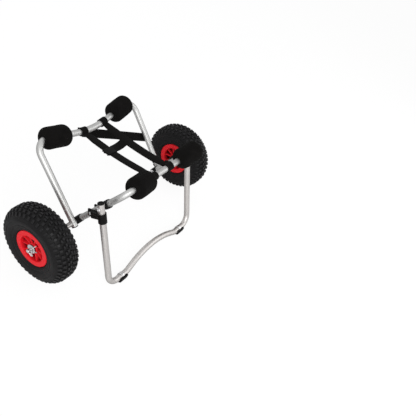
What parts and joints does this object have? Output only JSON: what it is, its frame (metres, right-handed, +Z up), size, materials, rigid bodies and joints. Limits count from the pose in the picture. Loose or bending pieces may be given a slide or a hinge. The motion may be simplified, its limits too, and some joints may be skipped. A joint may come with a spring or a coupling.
{
  "type": "kayak cart",
  "caption": "Folding two-wheeled cart with a V of tube frames, foam pads and webbing that cradle a kayak, and a kickstand.",
  "frame": {"origin": "on the ground, under the middle of the cart's bounding box", "axes": "+X along the wheels' axle line, +Y horizontal away from the kickstand, +Z up"},
  "size_m": [0.8052, 0.4704, 0.4022],
  "materials": {
    "aluminium": "satin",
    "steel": "satin",
    "foam": "matte",
    "tyre": "matte",
    "rubber": "matte",
    "red_plastic": "satin",
    "black_plastic": "matte",
    "webbing": "matte"
  },
  "bodies": {
    "rear_frame": {"rear_frame_tube": "aluminium", "brace_screw": "steel", "strap_brace": "webbing", "strap_short": "webbing", "strap_adjuster": "black_plastic", "foam_pad_rear_left": "foam", "foam_pad_rear_right": "foam", "rear_leg_plug_left": "black_plastic", "rear_leg_plug_right": "black_plastic", "strap_loop_rear_left": "webbing", "strap_loop_rear_right": "webbing", "strap_long_left": "webbing", "strap_long_right": "webbing", "axle_pin_left": "steel", "axle_pin_right": "steel", "axle_sleeve_left": "aluminium", "axle_sleeve_right": "aluminium", "axle_washer_left": "steel", "axle_washer_right": "steel", "spring_clip_left": "steel", "spring_clip_right": "steel"},
    "front_frame": {"front_frame_tube": "aluminium", "foam_pad_front_left": "foam", "foam_pad_front_right": "foam", "front_leg_eye_left": "black_plastic", "front_leg_eye_right": "black_plastic", "kickstand_bracket_left": "black_plastic", "kickstand_bracket_right": "black_plastic", "leg_screw_left": "steel", "leg_screw_right": "steel", "pivot_bolt_left": "steel", "pivot_bolt_right": "steel", "strap_loop_front_left": "webbing", "strap_loop_front_right": "webbing"},
    "kickstand": {"kickstand_tube": "aluminium", "kickstand_cap_left": "black_plastic", "kickstand_cap_right": "black_plastic", "kickstand_knuckle_left": "black_plastic", "kickstand_knuckle_right": "black_plastic", "fork_plunger_left": "steel", "fork_plunger_right": "steel", "kickstand_foot_left": "rubber", "kickstand_foot_right": "rubber", "foot_clip_left": "steel", "foot_clip_right": "steel"},
    "left_wheel": {"tyre_left": "tyre", "inner_tube_left": "rubber", "rim_left": "red_plastic", "valve_left": "rubber", "bush_outer_left": "black_plastic", "bush_inner_left": "black_plastic"},
    "right_wheel": {"tyre_right": "tyre", "inner_tube_right": "rubber", "rim_right": "red_plastic", "valve_right": "rubber", "bush_outer_right": "black_plastic", "bush_inner_right": "black_plastic"}
  },
  "joints": [
    {"name": "frame_fold", "type": "hinge", "parent": "rear_frame", "child": "front_frame", "pos_m": [0, -0.01211, 0.13], "axis": [-1, 0, 0], "range_deg": [0, 60], "deforming": ["strap_long_left", "strap_long_right", "strap_short"]},
    {"name": "kickstand_swing", "type": "hinge", "parent": "front_frame", "child": "kickstand", "pos_m": [0, -0.08069, 0.28117], "axis": [-1, 0, 0], "range_deg": [0, 127]},
    {"name": "left_wheel_spin", "type": "hinge", "parent": "rear_frame", "child": "left_wheel", "pos_m": [-0.3532, -0.01211, 0.13], "axis": [1, 0, 0], "continuous": true},
    {"name": "right_wheel_spin", "type": "hinge", "parent": "rear_frame", "child": "right_wheel", "pos_m": [0.3532, -0.01211, 0.13], "axis": [1, 0, 0], "continuous": true}
  ]
}
